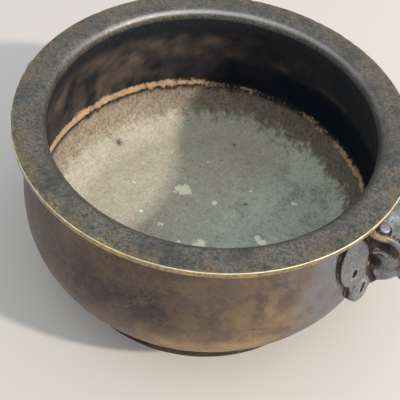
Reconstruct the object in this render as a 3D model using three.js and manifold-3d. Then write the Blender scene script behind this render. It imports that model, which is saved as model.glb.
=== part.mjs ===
import * as THREE from "three";
import { mergeVertices } from "three/addons/utils/BufferGeometryUtils.js";
import Module from "manifold-3d";

// Bronze incense burner: a low round bowl with a broad flat rim, a ring foot and two beast-head handles.
// Millimetres, +Z up. The origin is the centre of the foot's underside and the handles lie along X.

const wasm = await Module();
wasm.setup();

// Driving sizes of the vessel
const height = 94;
const rimRadius = 90;
const rimEdge = 3;
const rimRoot = 4.6;
const rimCove = 3.6;
const mouthRadius = 75.1;
const lipRound = 5.2;
const mouthDepth = 2;
const neckRadius = 79.8;
const neckDrop = 9.2;
const bellyRadius = 88.7;
const bellyHeight = 45.2;
const bellyFullness = 26.6;
const bellyDepth = 34.7;
const wall = 5.3;
const footRadius = 72.4;
const footTopRadius = 71.4;
const footWidth = 5.6;
const recessDepth = 9;
const recessSlope = 3;
const floorThickness = 5.2;
const edgeChamfer = 0.5;

// Shares of the rise from belly to rim by which the wall's curve is drawn out at its ends
const bellyPull = 0.6;
const neckPull = 0.15;
const lipPull = 0.2;

// Driving sizes of a handle, cast apart and fitted to the wall with a small gap
const jointGap = 0.3;
const handleHeight = 48;
const handleDrop = 27;
const lobeThickness = 2.3;
const plateThickness = 2.8;
const knobThickness = 4.9;
const backThickness = 1;
const lobeRound = 0.4;
const eyeRadius = 2.7;
const eyeRise = 2.6;
const socketRadius = 3.8;
const socketDepth = 1;
const ridgeRadius = 1.5;
const trunkRadius = 6.4;

// The tables below are drawn for a handle 48 mm high and are scaled by this share
const share = handleHeight / 48;

// The lobes of one side: a large one, one that runs up under the rim, a low one that joins them to
// the knob, the knob, and a thin one behind the crease. Each has its length round the wall, its rise
// above the handle's middle, and as its lean the rise of the place on the wall that it lies along.
const lobes = [
  { around: 23.4, rise: -0.3, radius: 9.8, stretch: 1.26, thickness: lobeThickness, lean: -0.3 },
  { around: 16.4, rise: 12.5, radius: 10.5, stretch: 0.95, thickness: lobeThickness, lean: 12.5 },
  { around: 21.4, rise: -11.4, radius: 6.4, stretch: 1.2, thickness: plateThickness, lean: -5 },
  { around: 19.6, rise: -18.6, radius: 7.2, stretch: 1, thickness: knobThickness, lean: -6 },
  { around: 12.6, rise: -4, radius: 5.4, stretch: 2.4, thickness: backThickness, lean: -4 },
];

// The crease between the lobes and the head, the pit in the large lobe and the slot in the knob, as
// paths of lengths round the wall, rises and heights off the wall
const crease = {
  path: [
    [11.8, 11, 2],
    [12.4, 0, 2],
    [13.8, -8.5, 2.9],
    [14.3, -12.5, 4.8],
    [12.6, -19, 7.4],
  ],
  radii: [1.5, 1.5, 1.3, 1.2],
};
const curlPit = { path: [[24.5, -5.2, 2.4], [23.8, -4.2, 2.4]], radii: [1.4, 1.1] };
const knobSlot = { path: [[19.1, -14.6, 4.6], [20.4, -17.4, 5]], radii: [1, 1.2] };

// The head's rounded forms: how far each stands out from the wall, to the side and above the
// handle's middle, and its half sizes. Those with a side are repeated on the other side.
const middleForms = [
  { out: -0.5, side: 0, rise: 3, size: [13.5, 12.6, 14] },
  { out: 5.5, side: 0, rise: -5, size: [10.5, 11, 10] },
  { out: 5, side: 0, rise: -14.6, size: [12.8, 13, 9.6] },
];
const sideForms = [
  { out: 2, side: 8, rise: 10.8, size: [10, 7.4, 3.2] },
  { out: 8, side: 5.2, rise: -7.4, size: [7.4, 6.2, 5.4] },
  { out: 3, side: 10.5, rise: -16.5, size: [6.2, 5.8, 7] },
];
const hollowForms = [
  { out: 3.4, side: 16, rise: 3, size: [4.2, 6, 6] },
  { out: 7.8, side: 13.8, rise: 2.4, size: [6.6, 5.6, 5.2] },
  { out: 5.2, side: 15.6, rise: -7, size: [4.4, 4.8, 5] },
];
const eyeFacing = [0.28, 0.1, 0.95];
const eyeBall = [3.3, 10.9, 13.6];
const eyeSocket = [3.3, 11.5, 13.7];
const ridgePath = [
  [-1, 15, 12.4],
  [3, 15, 12.8],
  [7.5, 14.2, 12.8],
  [11, 13, 10.4],
  [13.2, 11.6, 6.6],
  [14, 9.5, 1.6],
];
const ridgeTaper = [1, 1, 0.73];
const trunkPath = [
  [8, 0, 5.5],
  [14.6, 0, 2.4],
  [17.8, 0, -4],
  [16.6, 0, -12],
  [17.4, 0, -18],
  [21.8, 0, -21.5],
];
const trunkTaper = [1, 1, 0.97, 0.78, 0.63, 0.47];

// How finely round things are divided
const turnSides = 52;
const curveSteps = 5;
const lipSteps = 3;
const ballSides = 9;
const ballRings = 5;
const discSides = 10;
const trunkSides = 8;
const trunkRings = 2;
const barSides = 5;

const up = new THREE.Vector3(0, 0, 1);

// A point of a cubic curve from start to end, pulled towards the two points between
function cubic(start, startPull, endPull, end, t) {
  const curve = new THREE.CubicBezierCurve(
    new THREE.Vector2(...start),
    new THREE.Vector2(...startPull),
    new THREE.Vector2(...endPull),
    new THREE.Vector2(...end),
  );
  return curve.getPoint(t).toArray();
}

// The outside of the bowl as [radius, height] points, from the foot up to the neck
function outerWall(steps) {
  const points = [];
  const centre = bellyRadius - bellyFullness;
  const lowest = Math.acos((footTopRadius - centre) / bellyFullness);
  for (let i = 0; i < steps; i++) {
    const turn = lowest * (1 - i / steps);
    points.push([centre + bellyFullness * Math.cos(turn), bellyHeight - bellyDepth * Math.sin(turn)]);
  }
  const neckHeight = height - neckDrop;
  const rise = neckHeight - bellyHeight;
  for (let i = 0; i <= steps; i++) {
    const belly = [bellyRadius, bellyHeight];
    const aboveBelly = [bellyRadius, bellyHeight + bellyPull * rise];
    const belowNeck = [neckRadius, neckHeight - neckPull * rise];
    points.push(cubic(belly, aboveBelly, belowNeck, [neckRadius, neckHeight], i / steps));
  }
  return points;
}

// The rim from the neck out to its edge and in over the flat top
function rimProfile() {
  const under = height - rimEdge;
  const root = height - rimRoot;
  const neckHeight = height - neckDrop;
  const coveShare = 0.4;
  return [
    [neckRadius + coveShare * rimCove, (neckHeight + root) / 2],
    [neckRadius + rimCove, root],
    [rimRadius - edgeChamfer, under],
    [rimRadius, under + edgeChamfer],
    [rimRadius, height - edgeChamfer],
    [rimRadius - edgeChamfer, height],
  ];
}

// The inside, from the lip's rounding down to the centre of the floor
function innerWall(steps) {
  const points = [];
  const lipCentre = [mouthRadius + lipRound, height - lipRound];
  for (let i = 0; i <= lipSteps; i++) {
    const turn = (Math.PI / 2) * (1 + i / lipSteps);
    points.push([lipCentre[0] + lipRound * Math.cos(turn), lipCentre[1] + lipRound * Math.sin(turn)]);
  }
  const innerBelly = bellyRadius - wall;
  const top = height - lipRound - mouthDepth;
  const drop = top - bellyHeight;
  for (let i = 0; i < steps; i++) {
    const belowLip = [mouthRadius, top - lipPull * drop];
    const aboveBelly = [innerBelly, bellyHeight + bellyPull * drop];
    points.push(cubic([mouthRadius, top], belowLip, aboveBelly, [innerBelly, bellyHeight], i / steps));
  }
  const floor = recessDepth + floorThickness;
  const fullness = bellyFullness - wall;
  for (let i = 0; i <= steps; i++) {
    const turn = (Math.PI / 2) * (i / steps);
    const depth = bellyHeight - floor;
    points.push([innerBelly - fullness * (1 - Math.cos(turn)), bellyHeight - depth * Math.sin(turn)]);
  }
  points.push([0, floor]);
  return points;
}

// The underside, from the axis out to the foot's edge
function underside() {
  const footInner = footRadius - footWidth;
  return [
    [0, recessDepth],
    [footInner - recessSlope, recessDepth],
    [footInner, recessDepth - recessSlope],
    [footInner, edgeChamfer],
    [footInner + edgeChamfer, 0],
    [footRadius - edgeChamfer, 0],
    [footRadius, edgeChamfer],
  ];
}

// A closed manifold solid from any closed geometry
function solidFrom(geometry) {
  const mergeDistance = 1e-4;
  geometry.deleteAttribute("normal");
  geometry.deleteAttribute("uv");
  const merged = mergeVertices(geometry, mergeDistance);
  const vertProperties = new Float32Array(merged.attributes.position.array);
  const triVerts = new Uint32Array(merged.index.array);
  return new wasm.Manifold(new wasm.Mesh({ numProp: 3, vertProperties, triVerts }));
}

// The geometry of a manifold solid
function geometryFrom(solid) {
  const mesh = solid.getMesh();
  const geometry = new THREE.BufferGeometry();
  geometry.setAttribute("position", new THREE.BufferAttribute(mesh.vertProperties, 3));
  geometry.setIndex(new THREE.BufferAttribute(mesh.triVerts, 1));
  geometry.computeVertexNormals();
  return geometry;
}

// A solid turned about the Z axis from [radius, height] points that begin and end on the axis
function turned(profile) {
  const points = profile.map(([radius, level]) => new THREE.Vector2(radius, level));
  const geometry = new THREE.LatheGeometry(points, turnSides);
  geometry.rotateX(Math.PI / 2);
  return solidFrom(geometry);
}

function vesselSolid() {
  return turned([...underside(), ...outerWall(curveSteps), ...rimProfile(), ...innerWall(curveSteps)]);
}

// The room that the vessel takes, grown by the joint's gap, which is cut from each handle
function vesselRoom() {
  const line = [...outerWall(curveSteps), ...rimProfile()];
  const grown = line.map(([radius, level], i) => {
    const [beforeR, beforeZ] = line[Math.max(i - 1, 0)];
    const [afterR, afterZ] = line[Math.min(i + 1, line.length - 1)];
    const normal = new THREE.Vector2(afterZ - beforeZ, beforeR - afterR).normalize();
    return [radius + jointGap * normal.x, level + jointGap * normal.y];
  });
  return turned([[0, grown[0][1]], ...grown, [0, height + jointGap]]);
}

// The wall's outer radius at a height
function wallRadius(level) {
  const line = outerWall(curveSteps);
  const next = line.findIndex(([, z]) => z >= level);
  if (next <= 0) {
    return next === 0 ? footTopRadius : neckRadius;
  }
  const [r1, z1] = line[next - 1];
  const [r2, z2] = line[next];
  return r1 + ((r2 - r1) * (level - z1)) / (z2 - z1);
}

// A place on the head, given outward from the wall, to the side and above the handle's middle
function onHead(out, side, rise) {
  const level = height - handleDrop;
  return [wallRadius(level) + share * out, share * side, level + share * rise];
}

// An egg-shaped solid of the head
function form({ out, side, rise, size }) {
  const geometry = new THREE.SphereGeometry(1, ballSides, ballRings);
  geometry.scale(...size.map((value) => share * value));
  geometry.translate(...onHead(out, side, rise));
  return solidFrom(geometry);
}

// The same solid on one side of the head or the other
function mirrored(shape, side) {
  return form({ ...shape, side: side * shape.side });
}

// A round bar through the points, whose radius runs evenly from each given value to the next
function bar(points, radii, ringSides, ringsPerStep = 1) {
  const tipShare = 0.7;
  const curve = new THREE.CatmullRomCurve3(points.map((point) => new THREE.Vector3(...point)));
  const rings = (points.length - 1) * ringsPerStep;
  const frames = curve.computeFrenetFrames(rings);
  const positions = [];
  for (let i = 0; i <= rings; i++) {
    const place = curve.getPointAt(i / rings);
    const along = (i / rings) * (radii.length - 1);
    const k = Math.min(Math.floor(along), radii.length - 2);
    const radius = THREE.MathUtils.lerp(radii[k], radii[k + 1], along - k);
    for (let j = 0; j < ringSides; j++) {
      const turn = (2 * Math.PI * j) / ringSides;
      const point = place.clone();
      point.addScaledVector(frames.normals[i], radius * Math.cos(turn));
      point.addScaledVector(frames.binormals[i], radius * Math.sin(turn));
      positions.push(...point.toArray());
    }
  }
  const lastRadius = radii[radii.length - 1];
  const firstTip = curve.getPointAt(0).addScaledVector(frames.tangents[0], -tipShare * radii[0]);
  const lastTip = curve.getPointAt(1).addScaledVector(frames.tangents[rings], tipShare * lastRadius);
  positions.push(...firstTip.toArray(), ...lastTip.toArray());
  const first = (rings + 1) * ringSides;
  const faces = [];
  for (let j = 0; j < ringSides; j++) {
    const next = (j + 1) % ringSides;
    for (let i = 0; i < rings; i++) {
      const a = i * ringSides + j;
      const b = i * ringSides + next;
      faces.push(a, b, b + ringSides);
      faces.push(a, b + ringSides, a + ringSides);
    }
    faces.push(first, next, j);
    faces.push(first + 1, rings * ringSides + j, rings * ringSides + next);
  }
  const geometry = new THREE.BufferGeometry();
  geometry.setAttribute("position", new THREE.Float32BufferAttribute(positions, 3));
  geometry.setIndex(faces);
  return solidFrom(geometry);
}

// A round-edged disc standing on a place, facing along a direction, wider than tall where stretched
function disc(centre, facing, radius, thickness, round, stretch = 1) {
  const profile = [
    new THREE.Vector2(0, -thickness),
    new THREE.Vector2(radius, -thickness),
    new THREE.Vector2(radius, thickness - round),
    new THREE.Vector2(radius - round, thickness),
    new THREE.Vector2(0, thickness),
  ];
  const geometry = new THREE.LatheGeometry(profile, discSides);
  geometry.rotateX(Math.PI / 2);
  geometry.scale(1, stretch, 1);
  const look = new THREE.Matrix4();
  const z = new THREE.Vector3(...facing).normalize();
  const x = new THREE.Vector3().crossVectors(up, z).normalize();
  look.makeBasis(x, new THREE.Vector3().crossVectors(z, x), z);
  geometry.applyMatrix4(look);
  geometry.translate(...centre);
  return solidFrom(geometry);
}

// A place on the wall, a length round it from the handle's middle, raised off the surface
function onWall(side, around, rise, raised = 0) {
  const level = height - handleDrop + share * rise;
  const radius = wallRadius(level);
  const turn = (side * share * around) / radius;
  const reach = radius + share * raised;
  return [reach * Math.cos(turn), reach * Math.sin(turn), level];
}

// The direction in which the wall faces at a place, leaning as the wall does at another rise
function wallFacing(side, around, rise, lean) {
  const reach = 2;
  const level = height - handleDrop + share * lean;
  const slope = (wallRadius(level + reach) - wallRadius(level - reach)) / (2 * reach);
  const turn = (side * share * around) / wallRadius(height - handleDrop + share * rise);
  return [Math.cos(turn), Math.sin(turn), -slope];
}

function lobeSolid({ around, rise, radius, stretch, thickness, lean }, side) {
  const facing = wallFacing(side, around, rise, lean);
  const centre = onWall(side, around, rise);
  return disc(centre, facing, share * radius, thickness, thickness * lobeRound, stretch);
}

// A round groove along a path over the wall
function groove({ path, radii }, side) {
  const points = path.map((place) => onWall(side, ...place));
  return bar(points, radii.map((radius) => share * radius), barSides);
}

// What one side of the head adds: its rounded forms and the ridge below the eye
function sideSolids(side) {
  const ridgePoints = ridgePath.map(([out, y, rise]) => onHead(out, side * y, rise));
  const ridge = bar(ridgePoints, ridgeTaper.map((value) => ridgeRadius * value), barSides);
  return [...sideForms.map((shape) => mirrored(shape, side)), ridge];
}

// What is hollowed out of one side before the lobes and the eye are added
function sideHollows(side) {
  const facing = mirroredPlace(eyeFacing, side);
  const middle = (eyeRise - socketDepth) / 2;
  const lift = facing.map((value) => value * middle);
  const place = onHead(...mirroredPlace(eyeSocket, side)).map((value, i) => value + lift[i]);
  const depth = (eyeRise + socketDepth) / 2;
  const socket = disc(place, facing, socketRadius, depth, 0);
  return [...hollowForms.map((shape) => mirrored(shape, side)), groove(crease, side), socket];
}

function eyeSolid(side) {
  const place = onHead(...mirroredPlace(eyeBall, side));
  return disc(place, mirroredPlace(eyeFacing, side), eyeRadius, eyeRise, eyeRise / 4);
}

function mirroredPlace([out, y, rise], side) {
  return [out, side * y, rise];
}

function handleSolid() {
  const both = [-1, 1];
  const trunkRadii = trunkTaper.map((value) => trunkRadius * value);
  const trunk = bar(trunkPath.map((place) => onHead(...place)), trunkRadii, trunkSides, trunkRings);
  const added = [...middleForms.map(form), trunk, ...both.flatMap(sideSolids)];
  const hollows = both.flatMap(sideHollows);
  const plates = both.flatMap((side) => lobes.map((lobe) => lobeSolid(lobe, side)));
  const eyes = both.map(eyeSolid);
  const pressed = both.flatMap((side) => [groove(curlPit, side), groove(knobSlot, side)]);
  let solid = added.reduce((sum, part) => sum.add(part));
  solid = hollows.reduce((sum, part) => sum.subtract(part), solid);
  solid = [...plates, ...eyes].reduce((sum, part) => sum.add(part), solid);
  solid = pressed.reduce((sum, part) => sum.subtract(part), solid);
  return solid.subtract(vesselRoom());
}

function piece(name, solid, material) {
  const mesh = new THREE.Mesh(geometryFrom(solid), material);
  mesh.name = name;
  return mesh;
}

function bronze(color) {
  return new THREE.MeshStandardMaterial({ color, roughness: 0.45, metalness: 0.85 });
}

const burner = new THREE.Group();
burner.add(piece("vessel", vesselSolid(), bronze(0x5d5248)));

const handle = handleSolid();
burner.add(piece("handle_right", handle, bronze(0x6f6a68)));

const leftHandle = piece("handle_left", handle, bronze(0x6f6a68));
leftHandle.rotation.z = Math.PI;
burner.add(leftHandle);

export default burner;
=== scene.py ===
from functools import reduce
from math import cos, pi, radians, sin
from types import SimpleNamespace

import bpy
import numpy as np
from bpy.props import FloatProperty, FloatVectorProperty, IntProperty, PointerProperty
from mathutils import Euler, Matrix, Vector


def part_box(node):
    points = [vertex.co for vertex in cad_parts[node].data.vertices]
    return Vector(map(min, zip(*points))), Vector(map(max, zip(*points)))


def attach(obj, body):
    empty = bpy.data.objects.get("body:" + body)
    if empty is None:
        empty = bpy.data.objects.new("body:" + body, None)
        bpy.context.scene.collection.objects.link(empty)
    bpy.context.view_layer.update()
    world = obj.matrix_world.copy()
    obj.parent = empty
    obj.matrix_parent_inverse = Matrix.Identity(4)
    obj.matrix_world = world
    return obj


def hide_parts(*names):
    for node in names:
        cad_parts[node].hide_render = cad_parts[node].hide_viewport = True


bl_info = {
    "name": "Bronze Censer",
    "version": (1, 0, 0),
    "blender": (4, 5, 0),
    "location": "3D View > Sidebar > Censer",
    "description": "Builds the patinated surfaces of a low bronze censer with beast-head handles",
    "category": "Object",
}

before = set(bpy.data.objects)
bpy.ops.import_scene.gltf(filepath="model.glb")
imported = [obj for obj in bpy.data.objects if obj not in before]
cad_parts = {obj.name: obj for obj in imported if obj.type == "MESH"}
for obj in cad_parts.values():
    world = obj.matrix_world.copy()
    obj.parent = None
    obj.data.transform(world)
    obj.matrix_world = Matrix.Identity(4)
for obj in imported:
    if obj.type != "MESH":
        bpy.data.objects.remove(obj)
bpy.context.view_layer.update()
vessel_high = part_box("vessel")[1]

MM = 0.001
# Farther than anything on the censer, in millimetres
FAR = 1e3


def length(name, description, default):
    """A size property, in metres."""
    return FloatProperty(name=name, description=description, default=default, unit="LENGTH", precision=5)


def colour(name, description, default):
    """A colour property, as linear red, green and blue."""
    return FloatVectorProperty(name=name, description=description, default=default, subtype="COLOR", size=3)


def angle(name, description, degrees):
    """An angle property, with its default in degrees."""
    return FloatProperty(name=name, description=description, default=radians(degrees), subtype="ANGLE")


class CenserVesselSizes(bpy.types.PropertyGroup):
    """The sizes that give the vessel's section."""

    height: length("Height", "From the foot's underside to the rim's flat top", vessel_high[2])
    rim_radius: length("Rim radius", "From the axis to the rim's upright edge", vessel_high[0])
    rim_edge: length("Rim edge", "Height of the rim's upright edge", 0.003)
    rim_root: length("Rim root", "Thickness of the rim where it meets the cove", 0.0046)
    rim_cove: length("Rim cove", "How far the cove under the rim reaches out from the neck", 0.0036)
    mouth_radius: length("Mouth radius", "From the axis to the mouth's narrowest ring", 0.0751)
    lip_round: length("Lip round", "Radius of the rounding from the rim's top into the mouth", 0.0052)
    mouth_depth: length("Mouth depth", "Height of the upright stretch below the lip", 0.002)
    neck_radius: length("Neck radius", "From the axis to the outside of the neck", 0.0798)
    neck_drop: length("Neck drop", "From the rim's top down to the neck", 0.0092)
    belly_radius: length("Belly radius", "From the axis to the widest part of the belly", 0.0887)
    belly_height: length("Belly height", "Height of the belly's widest part", 0.0452)
    belly_fullness: length("Belly fullness", "Half width of the ellipse under the belly", 0.0266)
    belly_depth: length("Belly depth", "Half height of the ellipse under the belly", 0.0347)
    wall: length("Wall", "Thickness of the bowl's wall", 0.0053)
    foot_radius: length("Foot radius", "From the axis to the foot's outer edge", 0.0724)
    foot_top_radius: length("Foot top radius", "From the axis to where the foot meets the belly", 0.0714)
    foot_width: length("Foot width", "Width of the ring that the vessel stands on", 0.0056)
    recess_depth: length("Recess depth", "Depth of the recess inside the foot", 0.009)
    recess_slope: length("Recess slope", "Size of the bevel in the recess's corner", 0.003)
    floor_thickness: length("Floor thickness", "Thickness of the bowl's floor", 0.0052)
    edge_round: length("Edge round", "Rounding of the rim's and foot's edges", 0.0005)
    sides: IntProperty(name="Sides", description="Steps round the vessel's surface", default=480, min=24)


class CenserHandleSizes(bpy.types.PropertyGroup):
    """The sizes that give a handle's surface."""

    joint_gap: length("Joint gap", "Dark seam between a handle and the wall", 0.0003)
    drop: length("Drop", "From the rim's top down to the handle's middle", 0.027)
    lobe_thickness: length("Lobe thickness", "How far the lobes stand off the wall", 0.0023)
    plate_thickness: length("Plate thickness", "How far the plate between the lobes stands off", 0.0028)
    knob_thickness: length("Knob thickness", "How far the low knobs stand off the wall", 0.0049)
    back_thickness: length("Back thickness", "How far the plate behind the crease stands off", 0.0010)
    eye_radius: length("Eye radius", "Radius of an eye", 0.0027)
    eye_rise: length("Eye rise", "How far an eye stands out of the head", 0.0016)
    socket_radius: length("Socket radius", "Radius of the thin ring round an eye", 0.0042)
    grid_step: length("Grid step", "Fineness of the sculpted surface", 0.00042)


class CenserFinish(bpy.types.PropertyGroup):
    """The colours of the patina, the wear and the deposits, and of the painted light, shade and highlights.
    """

    # The lip's pale blue-grey is a painted reflection on the lip's far side; the same colour paints the pale
    # line round the lobes, the pale rings round the pits and the eye rings' painted highlight
    lip: colour("Lip sheen", "Pale blue-grey of the smooth lip", (0.560, 0.590, 0.620))
    brown: colour("Brown bronze", "The wall's usual patina", (0.175, 0.120, 0.088))
    plum: colour("Plum patina", "Dark purple-brown clouds on the wall", (0.046, 0.032, 0.033))
    # Partly bronze, partly a painted reflection of the warm floor low on the belly
    ochre_and_reflection: colour("Ochre bronze", "Golden-brown bronze low on the belly", (0.500, 0.330, 0.140))
    gold: colour("Worn gold", "Bare bronze on rubbed edges", (0.600, 0.390, 0.130))
    # The rim's bright corner is a painted highlight: a pale, barely metallic line all round
    arris_highlight: colour("Polished arris", "The rim's bright polished corner", (0.960, 0.920, 0.780))
    # Also paints a sheen on the belly's left side
    steel: colour("Grey bronze", "Grey-blue bronze near the handles", (0.215, 0.215, 0.245))
    rim: colour("Rim grey", "The rim's dark grey-green patina", (0.040, 0.044, 0.039))
    rim_pale: colour("Rim pale", "Paler grey-green bloom on the rim", (0.270, 0.270, 0.235))
    band: colour("Rim edge", "Brown-gold film on the rim's upright edge", (0.400, 0.320, 0.190))
    olive: colour("Rim olive", "Olive-gold film on the rim", (0.180, 0.140, 0.062))
    wall_dark: colour("Inner wall", "Smoked inner wall", (0.017, 0.019, 0.026))
    # Painted light: the lit side of the inner wall is painted a lighter brown than the rest
    lit_wall_brown: colour("Wall brown", "Thinner, browner smoke on the inner wall", (0.150, 0.108, 0.088))
    # Soot with painted shade: the blue-black band is darker away from the lit side
    soot_and_shade: colour("Soot", "Blue-black soot low on the inner wall", (0.003, 0.006, 0.014))
    residue: colour("Residue", "Cream residue ring inside the bowl", (0.760, 0.500, 0.290))
    # A brown band on the wall below the residue ring
    under_ring_brown: colour("Scorched brown", "Brown zone under the residue ring", (0.300, 0.220, 0.160))
    ash: colour("Ash beige", "Dry beige film on the floor", (0.680, 0.680, 0.540))
    # Painted light: the floor's lit side is painted pinker than its shaded side
    lit_floor_tint: colour("Pink dust", "Pinkish dust on the floor's dry side", (0.480, 0.400, 0.330))
    slate: colour("Slate green", "Grey-green floor", (0.450, 0.505, 0.415))
    verdigris: colour("Verdigris", "Pale yellow-green corrosion", (1.000, 1.000, 0.760))
    blue: colour("Handle blue-grey", "Blue-grey bronze of the handles", (0.250, 0.268, 0.315))
    crumb: colour("Pale crumbs", "Pale green-grey crumbs on the handles", (0.520, 0.540, 0.470))
    # Also paints shade into the pockets under the brow, along the crease and on the lobes' sides
    hollow: colour("Handle hollows", "Red-brown dark of the handles' hollows", (0.034, 0.017, 0.013))
    eyelid: colour("Worn eyelid", "Pale gold where the handles are rubbed", (0.720, 0.540, 0.260))
    eye: colour("Eye grey", "Lilac-grey bronze of the eyes", (0.260, 0.255, 0.310))
    crust: colour("Blue-green crust", "Blue-green corrosion in rough places", (0.140, 0.175, 0.190))


class CenserStage(bpy.types.PropertyGroup):
    """The camera, the floor and the lights."""

    camera_place: FloatVectorProperty(
        name="Camera place", description="Where the camera stands", default=(0.1048, -0.2298, 0.3214),
        subtype="TRANSLATION", precision=4)
    camera_turn: FloatVectorProperty(
        name="Camera turn", description="How the camera is turned",
        default=(radians(40.888), radians(-4.199), radians(29.831)), subtype="EULER", precision=4)
    lens: FloatProperty(name="Lens", description="Focal length in millimetres", default=67.5)
    floor_size: length("Floor size", "Half the floor's width", 1.5)
    floor_colour: colour("Floor colour", "The plain pale floor", (0.62, 0.59, 0.56))
    zenith_colour: colour("Zenith colour", "The soft light from above", (0.90, 0.96, 1.0))
    horizon_colour: colour("Horizon colour", "The dimmer light from the sides", (0.42, 0.42, 0.42))
    sky_strength: FloatProperty(name="Sky strength", description="Strength of the sky's light", default=1.0)
    key_colour: colour("Key colour", "The warm main light", (1.0, 0.89, 0.76))
    key_power: FloatProperty(
        name="Key power", description="Power of the main light", default=21.0, unit="POWER")
    key_azimuth: angle("Key azimuth", "Where the main light stands round the axis", 2.0)
    key_height: angle("Key height", "The main light's angle above the floor", 38.0)
    key_distance: length("Key distance", "From the vessel to the main light", 1.6)
    key_size: length("Key size", "Width of the main light's panel", 0.08)


def in_mm(sizes):
    """The sizes of a group as plain values in millimetres."""
    names = [name for name in sizes.__annotations__ if name != "sides"]
    return SimpleNamespace(**{name: getattr(sizes, name) / MM for name in names})


# Noise and curves


def hashed(cells, seed):
    """A steady value from -1 to 1 for each whole-numbered cell."""
    mixed = cells @ np.array([73856093, 19349663, 83492791]) + seed * 2654435761
    mixed = ((mixed ^ (mixed >> 13)) * 1274126177) & 0xFFFFFFFF
    return ((mixed ^ (mixed >> 15)) & 0xFFFF) / 32767.5 - 1


def soft_noise(points, cell, seed):
    """Smooth noise from -1 to 1, with features about one cell across."""
    place = points / cell
    base = np.floor(place).astype(np.int64)
    share = place - base
    share = share * share * (3 - 2 * share)
    total = np.zeros(len(points))
    for corner in np.ndindex(2, 2, 2):
        weight = np.prod(np.where(corner, share, 1 - share), axis=1)
        total += weight * hashed(base + np.array(corner), seed)
    return total


def rough_noise(points, cell, seed, octaves=3):
    """Noise whose features halve in size and strength with each octave."""
    total = np.zeros(len(points))
    for octave in range(octaves):
        total += soft_noise(points, cell / 2 ** octave, seed + octave) / 2 ** octave
    return total


def smooth_step(value, low, high):
    """0 below low, 1 above high and smooth between, also where low is the larger."""
    share = np.clip((value - low) / (high - low), 0, 1)
    return share * share * (3 - 2 * share)


def bump(distance, width):
    """A soft round bump that is 1 at no distance."""
    return np.exp(-np.square(distance / width))


def turned_place(points):
    """The distance from the upright axis, the azimuth in degrees and the height of each point."""
    radius = np.hypot(points[:, 0], points[:, 1])
    return radius, np.degrees(np.arctan2(points[:, 1], points[:, 0])), points[:, 2]


def turn_gap(first, second):
    """The angle between two directions in degrees, the short way round."""
    return np.abs((first - second + 180) % 360 - 180)


def line(start, end, steps):
    """Points from start up to, but without, end."""
    return [tuple(np.array(start) + (np.array(end) - start) * i / steps) for i in range(steps)]


def arc(centre, radius, first, last, steps):
    """Points on an arc or, where radius is a pair, on part of an ellipse, without the last one."""
    reach = np.broadcast_to(radius, 2)
    turns = [radians(first + (last - first) * i / steps) for i in range(steps)]
    return [(centre[0] + reach[0] * cos(t), centre[1] + reach[1] * sin(t)) for t in turns]


def cubic(start, first_pull, last_pull, end, steps):
    """Points on a cubic curve, without its end."""
    ends = [np.array(point, dtype=float) for point in (start, first_pull, last_pull, end)]
    points = []
    for i in range(steps):
        t = i / steps
        weights = ((1 - t) ** 3, 3 * (1 - t) ** 2 * t, 3 * (1 - t) * t * t, t ** 3)
        points.append(tuple(sum(weight * point for weight, point in zip(weights, ends))))
    return points


# The vessel

BELLY_PULL = 0.6
NECK_PULL = 0.15
LIP_PULL = 0.2
COVE_SHARE = 0.4


def belly_line(s, lower_steps, upper_steps):
    """The outside of the bowl from the foot up to the neck."""
    centre = s.belly_radius - s.belly_fullness
    lowest = np.degrees(np.arccos((s.foot_top_radius - centre) / s.belly_fullness))
    lower = arc((centre, s.belly_height), (s.belly_fullness, s.belly_depth), -lowest, 0, lower_steps)
    neck_height = s.height - s.neck_drop
    rise = neck_height - s.belly_height
    upper = cubic((s.belly_radius, s.belly_height), (s.belly_radius, s.belly_height + BELLY_PULL * rise),
                  (s.neck_radius, neck_height - NECK_PULL * rise), (s.neck_radius, neck_height), upper_steps)
    return lower + upper


def rim_line(s):
    """The cove under the rim, the rim's underside and its upright edge, up to the flat top."""
    root = s.height - s.rim_root
    under = s.height - s.rim_edge
    neck_height = s.height - s.neck_drop
    r = s.edge_round
    cove = (s.neck_radius + COVE_SHARE * s.rim_cove, (neck_height + root) / 2)
    inner = s.rim_radius - r
    return [
        *cubic((s.neck_radius, neck_height), (s.neck_radius, neck_height + 1), cove, cove, 3),
        *line(cove, (s.neck_radius + s.rim_cove, root), 3),
        *line((s.neck_radius + s.rim_cove, root), (inner, under), 5),
        *arc((inner, under + r), r, -90, 0, 3),
        *line((s.rim_radius, under + r), (s.rim_radius, s.height - r), 4),
        *arc((inner, s.height - r), r, 0, 90, 4),
    ]


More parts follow.
